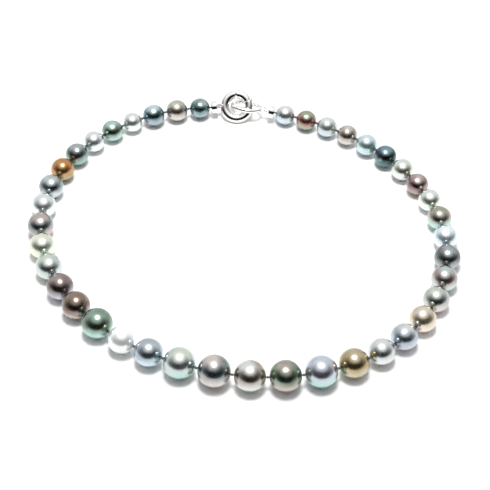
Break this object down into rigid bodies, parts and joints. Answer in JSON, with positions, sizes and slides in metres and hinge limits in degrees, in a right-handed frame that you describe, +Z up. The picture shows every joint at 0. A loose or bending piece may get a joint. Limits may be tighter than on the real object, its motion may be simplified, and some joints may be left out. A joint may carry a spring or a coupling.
{
  "type": "pearl necklace",
  "caption": "Knotted strand of graduated round pearls in mixed natural colours, closed at the back by a hinged ring clasp and a pear-shaped loop.",
  "frame": {"origin": "centre of the strand's footprint, on the flat surface that it lies on", "axes": "+Z up from the surface, +Y from the largest pearl at the front to the clasp at the back, +X to the viewer's right"},
  "size_m": [0.164, 0.1527, 0.0122],
  "materials": {
    "nacre_teal": "lustrous",
    "nacre_champagne": "lustrous",
    "nacre_peacock": "lustrous",
    "nacre_silver": "lustrous",
    "nacre_aqua": "lustrous",
    "nacre_white": "lustrous",
    "nacre_forest": "lustrous",
    "nacre_copper": "lustrous",
    "nacre_slate": "lustrous",
    "nacre_charcoal": "lustrous",
    "nacre_cream": "lustrous",
    "nacre_mint": "lustrous",
    "nacre_aubergine": "lustrous",
    "nacre_bronze": "lustrous",
    "nacre_steel": "lustrous",
    "nacre_mauve": "lustrous",
    "nacre_olive": "lustrous",
    "nacre_sky": "lustrous",
    "nacre_gold": "lustrous",
    "nacre_rose": "lustrous",
    "nacre_ice": "lustrous",
    "nacre_navy": "lustrous",
    "nacre_cherry": "lustrous",
    "white_gold": "polished",
    "silk": "matte"
  },
  "bodies": {
    "pearl_21": {"pearl_21_olive": "nacre_olive", "silk_thread": "silk"},
    "pearl_20": {"pearl_20_mauve": "nacre_mauve"},
    "pearl_19": {"pearl_19_mint": "nacre_mint"},
    "pearl_18": {"pearl_18_steel": "nacre_steel"},
    "pearl_17": {"pearl_17_white": "nacre_white"},
    "pearl_16": {"pearl_16_peacock": "nacre_peacock"},
    "pearl_15": {"pearl_15_bronze": "nacre_bronze"},
    "pearl_14": {"pearl_14_aubergine": "nacre_aubergine"},
    "pearl_13": {"pearl_13_mint": "nacre_mint"},
    "pearl_12": {"pearl_12_cream": "nacre_cream"},
    "pearl_11": {"pearl_11_charcoal": "nacre_charcoal"},
    "pearl_10": {"pearl_10_white": "nacre_white"},
    "pearl_09": {"pearl_09_slate": "nacre_slate"},
    "pearl_08": {"pearl_08_copper": "nacre_copper"},
    "pearl_07": {"pearl_07_forest": "nacre_forest"},
    "pearl_06": {"pearl_06_white": "nacre_white"},
    "pearl_05": {"pearl_05_aqua": "nacre_aqua"},
    "pearl_04": {"pearl_04_silver": "nacre_silver"},
    "pearl_03": {"pearl_03_peacock": "nacre_peacock"},
    "pearl_02": {"pearl_02_champagne": "nacre_champagne"},
    "pearl_01": {"pearl_01_teal": "nacre_teal"},
    "pearl_22": {"pearl_22_forest": "nacre_forest"},
    "pearl_23": {"pearl_23_sky": "nacre_sky"},
    "pearl_24": {"pearl_24_gold": "nacre_gold"},
    "pearl_25": {"pearl_25_silver": "nacre_silver"},
    "pearl_26": {"pearl_26_steel": "nacre_steel"},
    "pearl_27": {"pearl_27_cream": "nacre_cream"},
    "pearl_28": {"pearl_28_forest": "nacre_forest"},
    "pearl_29": {"pearl_29_rose": "nacre_rose"},
    "pearl_30": {"pearl_30_charcoal": "nacre_charcoal"},
    "pearl_31": {"pearl_31_ice": "nacre_ice"},
    "pearl_32": {"pearl_32_bronze": "nacre_bronze"},
    "pearl_33": {"pearl_33_champagne": "nacre_champagne"},
    "pearl_34": {"pearl_34_aubergine": "nacre_aubergine"},
    "pearl_35": {"pearl_35_champagne": "nacre_champagne"},
    "pearl_36": {"pearl_36_navy": "nacre_navy"},
    "pearl_37": {"pearl_37_sky": "nacre_sky"},
    "pearl_38": {"pearl_38_mauve": "nacre_mauve"},
    "pearl_39": {"pearl_39_silver": "nacre_silver"},
    "pearl_40": {"pearl_40_cherry": "nacre_cherry"},
    "pearl_41": {"pearl_41_ice": "nacre_ice"},
    "left_cap": {"end_cap_left": "white_gold", "thread_crimp_left": "white_gold"},
    "clasp_ring": {"clasp_ring": "white_gold", "left_cap_rivet": "white_gold", "gate_hinge_rivet": "white_gold"},
    "clasp_gate": {"clasp_gate": "white_gold"},
    "clasp_loop": {"clasp_loop": "white_gold"},
    "jump_ring": {"jump_ring": "white_gold"},
    "right_cap": {"end_cap_right": "white_gold", "thread_crimp_right": "white_gold"}
  },
  "joints": [
    {"name": "clasp_gate_hinge", "type": "hinge", "parent": "clasp_ring", "child": "clasp_gate", "pos_m": [0.00336, 0.07252, 0.0071], "axis": [0.0447, 0.6805, -0.7314], "range_deg": [0, 60]},
    {"name": "clasp_ring_pin", "type": "hinge", "parent": "left_cap", "child": "clasp_ring", "pos_m": [-0.00823, 0.07113, 0.0051], "axis": [-0.0447, -0.6805, 0.7314], "range_deg": [-20, 25]},
    {"name": "clasp_loop_swing", "type": "hinge", "parent": "clasp_ring", "child": "clasp_loop", "pos_m": [0.0027, 0.07041, 0.0051], "axis": [0.0479, 0.7298, 0.682], "range_deg": [-20, 12]},
    {"name": "jump_ring_swing", "type": "hinge", "parent": "clasp_loop", "child": "jump_ring", "pos_m": [0.0077, 0.069, 0.0051], "axis": [-0.2716, -0.9624, 0], "range_deg": [-5, 40]},
    {"name": "right_cap_swing", "type": "hinge", "parent": "jump_ring", "child": "right_cap", "pos_m": [0.00983, 0.0684, 0.0051], "axis": [0, 0, 1], "range_deg": [-15, 15]},
    {"name": "left_cap_swing", "type": "hinge", "parent": "pearl_01", "child": "left_cap", "pos_m": [-0.013, 0.07079, 0.0044], "axis": [0, 0, 1], "range_deg": [-20, 20]},
    {"name": "knot_20_side", "type": "hinge", "parent": "pearl_21", "child": "pearl_20", "pos_m": [-0.00338, -0.07035, 0.00612], "axis": [0, 0, 1], "range_deg": [0, 30], "deforming": ["silk_thread"]},
    {"name": "knot_19_lift", "type": "hinge", "parent": "pearl_20", "child": "pearl_19", "pos_m": [-0.01603, -0.06737, 0.0062], "axis": [-0.2938, -0.9559, 0], "range_deg": [-15, 15]},
    {"name": "knot_18_side", "type": "hinge", "parent": "pearl_19", "child": "pearl_18", "pos_m": [-0.02797, -0.06278, 0.00585], "axis": [0, 0, 1], "range_deg": [0, 30]},
    {"name": "knot_17_lift", "type": "hinge", "parent": "pearl_18", "child": "pearl_17", "pos_m": [-0.0382, -0.05732, 0.0055], "axis": [-0.5221, -0.8529, 0], "range_deg": [-15, 15]},
    {"name": "knot_16_side", "type": "hinge", "parent": "pearl_17", "child": "pearl_16", "pos_m": [-0.04755, -0.0508, 0.00572], "axis": [0, 0, 1], "range_deg": [0, 30]},
    {"name": "knot_15_lift", "type": "hinge", "parent": "pearl_16", "child": "pearl_15", "pos_m": [-0.05678, -0.04238, 0.00577], "axis": [-0.7231, -0.6907, 0], "range_deg": [-15, 15]},
    {"name": "knot_14_side", "type": "hinge", "parent": "pearl_15", "child": "pearl_14", "pos_m": [-0.06415, -0.03342, 0.00545], "axis": [0, 0, 1], "range_deg": [0, 30]},
    {"name": "knot_13_lift", "type": "hinge", "parent": "pearl_14", "child": "pearl_13", "pos_m": [-0.06993, -0.02383, 0.00535], "axis": [-0.8937, -0.4487, 0], "range_deg": [-15, 15]},
    {"name": "knot_12_side", "type": "hinge", "parent": "pearl_13", "child": "pearl_12", "pos_m": [-0.07417, -0.01345, 0.00531], "axis": [0, 0, 1], "range_deg": [0, 30]},
    {"name": "knot_11_lift", "type": "hinge", "parent": "pearl_12", "child": "pearl_11", "pos_m": [-0.07666, -0.00272, 0.00526], "axis": [-0.9896, -0.1437, 0], "range_deg": [-15, 15]},
    {"name": "knot_10_side", "type": "hinge", "parent": "pearl_11", "child": "pearl_10", "pos_m": [-0.07733, 0.00829, 0.00517], "axis": [0, 0, 1], "range_deg": [0, 30]},
    {"name": "knot_09_lift", "type": "hinge", "parent": "pearl_10", "child": "pearl_09", "pos_m": [-0.07619, 0.01886, 0.00507], "axis": [-0.9817, 0.1906, 0], "range_deg": [-15, 15]},
    {"name": "knot_08_side", "type": "hinge", "parent": "pearl_09", "child": "pearl_08", "pos_m": [-0.07329, 0.02911, 0.00498], "axis": [0, 0, 1], "range_deg": [0, 30]},
    {"name": "knot_07_lift", "type": "hinge", "parent": "pearl_08", "child": "pearl_07", "pos_m": [-0.06888, 0.03838, 0.00484], "axis": [-0.8656, 0.5007, 0], "range_deg": [-15, 15]},
    {"name": "knot_06_side", "type": "hinge", "parent": "pearl_07", "child": "pearl_06", "pos_m": [-0.06313, 0.04667, 0.00467], "axis": [0, 0, 1], "range_deg": [0, 30]},
    {"name": "knot_05_lift", "type": "hinge", "parent": "pearl_06", "child": "pearl_05", "pos_m": [-0.0565, 0.05361, 0.00458], "axis": [-0.6681, 0.7441, 0], "range_deg": [-15, 15]},
    {"name": "knot_04_side", "type": "hinge", "parent": "pearl_05", "child": "pearl_04", "pos_m": [-0.04879, 0.05955, 0.00445], "axis": [0, 0, 1], "range_deg": [0, 30]},
    {"name": "knot_03_lift", "type": "hinge", "parent": "pearl_04", "child": "pearl_03", "pos_m": [-0.04089, 0.06399, 0.00449], "axis": [-0.4254, 0.905, 0], "range_deg": [-15, 15]},
    {"name": "knot_02_side", "type": "hinge", "parent": "pearl_03", "child": "pearl_02", "pos_m": [-0.03168, 0.06759, 0.00468], "axis": [0, 0, 1], "range_deg": [0, 30]},
    {"name": "knot_01_lift", "type": "hinge", "parent": "pearl_02", "child": "pearl_01", "pos_m": [-0.0221, 0.06985, 0.00453], "axis": [-0.1683, 0.9857, 0], "range_deg": [-15, 15]},
    {"name": "knot_22_side", "type": "hinge", "parent": "pearl_21", "child": "pearl_22", "pos_m": [0.00908, -0.07141, 0.00602], "axis": [0, 0, -1], "range_deg": [0, 30]},
    {"name": "knot_23_lift", "type": "hinge", "parent": "pearl_22", "child": "pearl_23", "pos_m": [0.02164, -0.07051, 0.00612], "axis": [0.1579, -0.9875, 0], "range_deg": [-15, 15]},
    {"name": "knot_24_side", "type": "hinge", "parent": "pearl_23", "child": "pearl_24", "pos_m": [0.03416, -0.0674, 0.00597], "axis": [0, 0, -1], "range_deg": [0, 30]},
    {"name": "knot_25_lift", "type": "hinge", "parent": "pearl_24", "child": "pearl_25", "pos_m": [0.0451, -0.06248, 0.0055], "axis": [0.4841, -0.875, 0], "range_deg": [-15, 15]},
    {"name": "knot_26_side", "type": "hinge", "parent": "pearl_25", "child": "pearl_26", "pos_m": [0.0542, -0.05631, 0.00527], "axis": [0, 0, -1], "range_deg": [0, 30]},
    {"name": "knot_27_lift", "type": "hinge", "parent": "pearl_26", "child": "pearl_27", "pos_m": [0.06218, -0.04861, 0.0053], "axis": [0.7548, -0.656, 0], "range_deg": [-15, 15]},
    {"name": "knot_28_side", "type": "hinge", "parent": "pearl_27", "child": "pearl_28", "pos_m": [0.0687, -0.03962, 0.00525], "axis": [0, 0, -1], "range_deg": [0, 30]},
    {"name": "knot_29_lift", "type": "hinge", "parent": "pearl_28", "child": "pearl_29", "pos_m": [0.07346, -0.02981, 0.0052], "axis": [0.9345, -0.356, 0], "range_deg": [-15, 15]},
    {"name": "knot_30_side", "type": "hinge", "parent": "pearl_29", "child": "pearl_30", "pos_m": [0.07643, -0.01931, 0.00523], "axis": [0, 0, -1], "range_deg": [0, 30]},
    {"name": "knot_31_lift", "type": "hinge", "parent": "pearl_30", "child": "pearl_31", "pos_m": [0.07757, -0.00835, 0.00509], "axis": [0.9997, -0.0226, 0], "range_deg": [-15, 15]},
    {"name": "knot_32_side", "type": "hinge", "parent": "pearl_31", "child": "pearl_32", "pos_m": [0.07691, 0.00195, 0.00494], "axis": [0, 0, -1], "range_deg": [0, 30]},
    {"name": "knot_33_lift", "type": "hinge", "parent": "pearl_32", "child": "pearl_33", "pos_m": [0.07464, 0.01214, 0.00485], "axis": [0.9576, 0.2881, 0], "range_deg": [-15, 15]},
    {"name": "knot_34_side", "type": "hinge", "parent": "pearl_33", "child": "pearl_34", "pos_m": [0.07106, 0.02142, 0.00465], "axis": [0, 0, -1], "range_deg": [0, 30]},
    {"name": "knot_35_lift", "type": "hinge", "parent": "pearl_34", "child": "pearl_35", "pos_m": [0.06639, 0.02988, 0.00464], "axis": [0.8424, 0.5389, 0], "range_deg": [-15, 15]},
    {"name": "knot_36_side", "type": "hinge", "parent": "pearl_35", "child": "pearl_36", "pos_m": [0.06054, 0.03785, 0.0047], "axis": [0, 0, -1], "range_deg": [0, 30]},
    {"name": "knot_37_lift", "type": "hinge", "parent": "pearl_36", "child": "pearl_37", "pos_m": [0.05376, 0.04507, 0.00466], "axis": [0.6892, 0.7246, 0], "range_deg": [-15, 15]},
    {"name": "knot_38_side", "type": "hinge", "parent": "pearl_37", "child": "pearl_38", "pos_m": [0.04634, 0.05137, 0.00452], "axis": [0, 0, -1], "range_deg": [0, 30]},
    {"name": "knot_39_lift", "type": "hinge", "parent": "pearl_38", "child": "pearl_39", "pos_m": [0.03862, 0.05665, 0.00444], "axis": [0.5246, 0.8514, 0], "range_deg": [-15, 15]},
    {"name": "knot_40_side", "type": "hinge", "parent": "pearl_39", "child": "pearl_40", "pos_m": [0.03039, 0.06119, 0.00441], "axis": [0, 0, -1], "range_deg": [0, 30]},
    {"name": "knot_41_lift", "type": "hinge", "parent": "pearl_40", "child": "pearl_41", "pos_m": [0.02192, 0.06487, 0.00433], "axis": [0.3556, 0.9347, 0], "range_deg": [-15, 15]}
  ]
}
